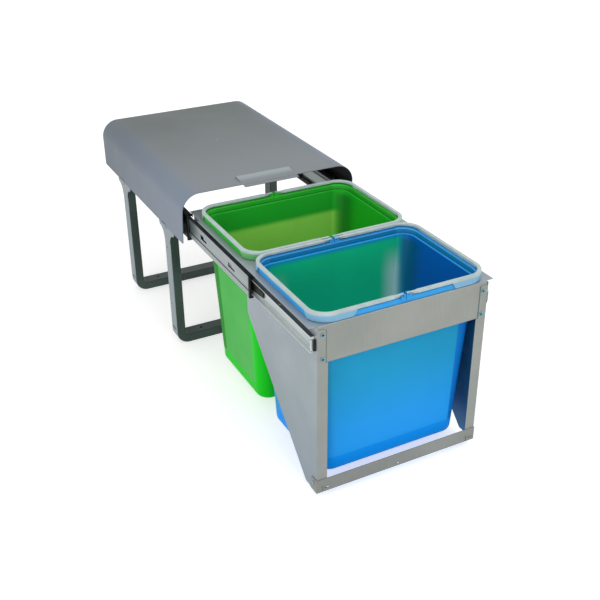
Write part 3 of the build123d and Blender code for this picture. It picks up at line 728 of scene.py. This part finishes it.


# Bins: slightly milky plastic, with the light through and on the walls painted in: tone fields,
# highlights, shade and glow
binSettings = {
    # each set holds painted light: tone fields outside, a lit rear wall, painted highlights, painted
    # shade and glows
    "green": {
        "wall": (76, 186, 80), "solid": (20, 206, 30), "edge": (20, 206, 30), "strip": (26, 138, 32),
        "inside": (28, 176, 36), "rear": (34, 166, 46), "rearLow": (150, 220, 92),
        "corner": (28, 116, 34), "ledge": (24, 116, 32),
        "rim": (34, 190, 44), "rimShade": (36, 168, 42), "line": (96, 190, 86),
        "frontTo": (-98, -94), "rearTurn": (267, 279), "streak": 0.0,
        "footGlow": (0.08, 0.1), "glow": (0.12, 0.02),
    },
    "blue": {
        "wall": (24, 150, 196), "solid": (0, 140, 236), "edge": (6, 112, 196), "strip": (44, 146, 208),
        "inside": (0, 92, 174), "rear": (14, 140, 176), "rearLow": (16, 186, 126),
        "corner": (2, 88, 112), "ledge": (8, 104, 150),
        "rim": (52, 168, 240), "rimShade": (10, 128, 180), "line": (120, 190, 224),
        "frontTo": (-64, -60), "rearTurn": (302, 314), "streak": 0.85,
        "footGlow": (0.2, 0.12), "glow": (0.3, 0.08),
    },
    "cloud": 0.12, "texture": 0.0011, "textureDepth": 0.00003, "textureStrength": 0.4,
    "refraction": 1.45, "wallGloss": 0.15, "rimGloss": 0.3, "roughness": (0.44, 0.54),
    "rounding": 0.8, "soft": 0.5,
    # levels and half widths that part the faces of a bin
    "ledge": 313.2, "rimTop": 323.7, "slack": 0.1, "flat": 0.9, "mouth": (144.8, 104.3),
    # outside: painted tone fields; Y is measured from the middle of the bin
    "step": (53, 55), "frontAcross": (108, 111),
    "sideAcross": (122, 126), "sideFrom": (-68, -65), "rearAcross": (100, 104), "rearFrom": (94, 98),
    "stripAcross": (104, 112), "stripFrom": (56, 60), "deep": 0.84, "deepShare": 0.5,
    # painted light on the blue bin's foot tone, and the glow low on the walls
    "footTone": (30, 152, 236), "footTo": (60, 230), "footGlowTo": (20, 90),
    # inside: painted light on the rear wall, a painted highlight streak and painted shade in the corners
    "rearWallAcross": (112, 142), "rearWallFrom": (60, 96),
    "streakTone": (170, 214, 200), "streakAcross": ((84, 116), (118, 134)),
    "streakUpright": ((60, 180), (240, 300)), "streakFrom": (0, 40),
    "cornerAcross": (118, 138), "cornerFrom": (40, 90), "cornerTop": (300, 312), "cornerShare": 0.85,
    "insideDeepShare": 0.1, "glowTo": (120, 300),
    # mouth
    "ledgeTop": (314.2, 317.2), "lineFrom": (321.1, 321.9), "shoulderFrom": (322.1, 322.9),
    "rimDeep": 0.8, "rimDeepShare": 0.3,
}


def moulded(name, gloss):
    plastic = Finish(name, IOR=binSettings["refraction"], Specular_IOR_Level=gloss)
    cloud = plastic.grain(binSettings["cloud"])
    plastic.softEdges(binSettings["rounding"])
    plastic.roughness(plastic.between(cloud, *binSettings["roughness"]))
    texture = plastic.grain(binSettings["texture"], detail=2)
    plastic.bump(texture, binSettings["textureDepth"], binSettings["textureStrength"])
    return plastic, cloud


def alongBin(colourName, places):
    # places measured from the middle of a bin, as places along the drawer
    centre = middle(colourName + "_bin")
    return [centre.y + place for place in places]


def binOutside(colourName):
    # painted light: a flat wall is painted paler than the corners and the foot, where the plastic is
    # seen edge on
    tones = binSettings[colourName]
    plastic, cloud = moulded(colourName + "Outside", binSettings["wallGloss"])

    def across(key):
        return plastic.along("X", *binSettings[key])

    def behind(key):
        return plastic.along("Y", *alongBin(colourName, binSettings[key]))

    above = plastic.along("Z", *binSettings["step"])
    # only the right upright corner of the front is seen edge on
    front = plastic.together(
        plastic.before("X", *binSettings["frontAcross"], bothSides=False),
        plastic.before("Y", *alongBin(colourName, tones["frontTo"])))
    sides = plastic.together(across("sideAcross"), behind("sideFrom"))
    rear = plastic.together(plastic.before("X", *binSettings["rearAcross"]), behind("rearFrom"))
    share = plastic.together(plastic.maths("MAXIMUM", front, sides, rear), above)
    # painted light: a strip of another tone along the rear corner
    strip = plastic.together(behind("stripFrom"), across("stripAcross"), above)
    deep = tones["wall"] + (binSettings["deep"],)
    pale = plastic.mottle(cloud, tones["wall"], deep, binSettings["deepShare"])
    if colourName == "blue":
        # painted light: bluer towards the foot, where the green bin behind no longer shows through
        pale = plastic.blend(plastic.along("Z", *binSettings["footTo"]), binSettings["footTone"], pale)
    edge = plastic.blend(above, tones["solid"], tones["edge"])
    base = plastic.blend(share, edge, pale)
    base = plastic.blend(strip, base, tones["strip"])
    plastic.colour(base)
    # painted glow on the outer walls, changing from the foot upwards
    height = plastic.along("Z", *binSettings["footGlowTo"])
    plastic.glow(base, plastic.between(height, *tones["footGlow"], start=0, end=1))
    return plastic.material


def binInside(colourName):
    tones = binSettings[colourName]
    plastic, cloud = moulded(colourName + "Inside", binSettings["wallGloss"])

    def behind(key):
        return plastic.along("Y", *alongBin(colourName, binSettings[key]))

    # painted light on the inner rear wall: lit through from behind below the rear turn
    rearWall = plastic.together(
        behind("rearWallFrom"), plastic.before("X", *binSettings["rearWallAcross"]))
    rear = plastic.blend(plastic.along("Z", *tones["rearTurn"]), tones["rearLow"], tones["rear"])
    if tones["streak"]:
        # a soft painted highlight streak where the rear wall turns into its corner
        streak = plastic.together(
            plastic.within("X", *binSettings["streakAcross"]),
            plastic.within("Z", *binSettings["streakUpright"]), behind("streakFrom"), tones["streak"])
        rear = plastic.blend(streak, rear, binSettings["streakTone"])
    base = plastic.blend(rearWall, tones["inside"], rear)
    # painted shade: darkest in the upright corners
    turn = plastic.together(
        plastic.along("X", *binSettings["cornerAcross"]), behind("cornerFrom"),
        plastic.before("Z", *binSettings["cornerTop"]), binSettings["cornerShare"])
    base = plastic.blend(turn, base, tones["corner"])
    plastic.colour(plastic.mottle(cloud, base, (0, 0, 0), binSettings["insideDeepShare"]))
    # painted glow, stronger in the deeper parts, standing in for light that comes through the walls
    height = plastic.along("Z", *binSettings["glowTo"])
    plastic.glow(base, plastic.between(height, *tones["glow"], start=0, end=1))
    return plastic.material


def binMouth(colourName):
    # the rim colour on the shoulder, a painted highlight line under it and a band in painted shade down
    # to the ledge
    tones = binSettings[colourName]
    plastic = moulded(colourName + "Rim", binSettings["rimGloss"])[0]
    base = plastic.blend(plastic.along("Z", *binSettings["ledgeTop"]), tones["ledge"], tones["rimShade"])
    base = plastic.blend(plastic.along("Z", *binSettings["lineFrom"]), base, tones["line"])
    base = plastic.blend(plastic.along("Z", *binSettings["shoulderFrom"]), base, tones["rim"])
    plastic.colour(base)
    return plastic.material


def rimOutside(colourName):
    rim = binSettings[colourName]["rim"]
    plastic, cloud = moulded(colourName + "RimOutside", binSettings["rimGloss"])
    deep = rim + (binSettings["rimDeep"],)
    plastic.colour(plastic.mottle(cloud, rim, deep, binSettings["rimDeepShare"]))
    return plastic.material


def dressBin(colourName):
    name = colourName + "_bin"
    centre = middle(name)
    slack, flat = binSettings["slack"], binSettings["flat"]
    halfX, halfY = binSettings["mouth"]
    outside, inside, mouth, rim = (
        make(colourName) for make in (binOutside, binInside, binMouth, rimOutside))

    def choose(at, normal):
        inwards = normal.x * (at.x - centre.x) + normal.y * (at.y - centre.y) < 0
        insideMouth = abs(at.x) < halfX and abs(at.y - centre.y) < halfY
        if at.z > binSettings["ledge"] - slack:
            inMouth = inwards and insideMouth and at.z < binSettings["rimTop"] + slack
            return mouth if inMouth else rim
        if insideMouth and (inwards and abs(normal.z) < flat or normal.z > flat):
            return inside
        return outside

    dressFaces(name, [outside, inside, mouth, rim], choose)
    soften(binSettings["soft"], name)


# Carrying rings: milky; below the rim top they are painted in the bin's colour, as if the rim showed
# through them
ringSettings = {
    "light": (190, 205, 204), "dark": (174, 192, 192), "cloud": 0.02,
    "green": (100, 176, 104), "blue": (128, 180, 212), "tintTo": (325, 328),
    "refraction": 1.48, "gloss": 0.3, "roughness": (0.34, 0.46), "rounding": 1.2, "soft": 0.8,
}


def dressRings(colourName):
    plastic = Finish(
        colourName + "Ring", IOR=ringSettings["refraction"], Specular_IOR_Level=ringSettings["gloss"])
    plastic.softEdges(ringSettings["rounding"])
    cloud = plastic.grain(ringSettings["cloud"])
    milky = plastic.mottle(cloud, ringSettings["dark"], ringSettings["light"])
    # painted see-through colour of the rim below the rim top
    height = plastic.along("Z", *ringSettings["tintTo"])
    plastic.colour(plastic.blend(height, ringSettings[colourName], milky))
    plastic.roughness(plastic.between(cloud, *ringSettings["roughness"]))
    names = ["%s_%s_handle" % (colourName, side) for side in ("left", "right")]
    dress(plastic.material, *names)
    soften(ringSettings["soft"], *names)


makeCamera()
makeLights()
makeFloor()
print("studio ready")

dressCover()
dressHoops()
print("cover and hoops painted")

dressDrawer()
dressRails()
toothSteel = brightSteel("toothSteel")
for side in ("left", "right"):
    makeStrip(side, toothSteel)
dress(brightSteel("cageSteel"), *onBothSides("outer_cage", "inner_cage"))
dress(brightSteel("ballSteel"), *onBothSides("outer_balls", "inner_balls"))
dressRivets()
blackPieces = onBothSides("outer_end_stop", "middle_end_cap", "inner_bumper", "release_lever")
dress(blackPlasticAndShade("blackPlasticAndShade"), *blackPieces)
print("slides and drawer front finished")

for colourName in ("green", "blue"):
    dressBin(colourName)
    dressRings(colourName)
print("bins and rings finished")
